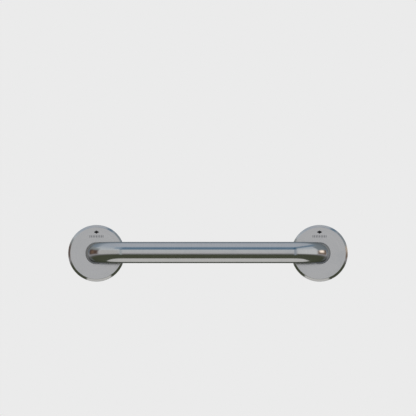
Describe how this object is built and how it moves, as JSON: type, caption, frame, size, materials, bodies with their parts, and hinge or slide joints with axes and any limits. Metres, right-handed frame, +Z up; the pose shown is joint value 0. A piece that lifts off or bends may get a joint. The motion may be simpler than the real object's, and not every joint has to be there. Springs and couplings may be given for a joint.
{
  "type": "grab rail",
  "caption": "Straight wall grab rail: a bent steel tube welded to round wall plates, with screws hidden under sliding dished covers.",
  "frame": {"origin": "on the wall plane, midway between the two legs, at the centre of the rectangle that the four inner screws make", "axes": "+X along the rail, +Z up, and -Y off the wall towards the hand; the screws run into the wall along +Y"},
  "size_m": [0.376, 0.111, 0.076],
  "materials": {
    "rail_steel": "satin polished stainless",
    "cover_steel": "satin polished stainless with a small printed index mark",
    "plate_steel": "dull mill finish stainless",
    "weld_steel": "rippled weld with heat tint",
    "screw_steel": "bright stainless",
    "gasket_rubber": "matt black"
  },
  "bodies": {
    "rail": {"rail_tube": "rail_steel", "left_gasket": "gasket_rubber", "left_wall_plate": "plate_steel", "left_weld_bead": "weld_steel", "left_outer_screw": "screw_steel", "left_upper_screw": "screw_steel", "left_lower_screw": "screw_steel", "right_gasket": "gasket_rubber", "right_wall_plate": "plate_steel", "right_weld_bead": "weld_steel", "right_outer_screw": "screw_steel", "right_upper_screw": "screw_steel", "right_lower_screw": "screw_steel"},
    "left_cover": {"left_cover": "cover_steel"},
    "right_cover": {"right_cover": "cover_steel"}
  },
  "joints": [
    {"name": "left_cover_slide", "type": "slide", "parent": "rail", "child": "left_cover", "axis": [0, -1, 0], "range_m": [0, 0.013]},
    {"name": "right_cover_slide", "type": "slide", "parent": "rail", "child": "right_cover", "axis": [0, -1, 0], "range_m": [0, 0.013]}
  ]
}
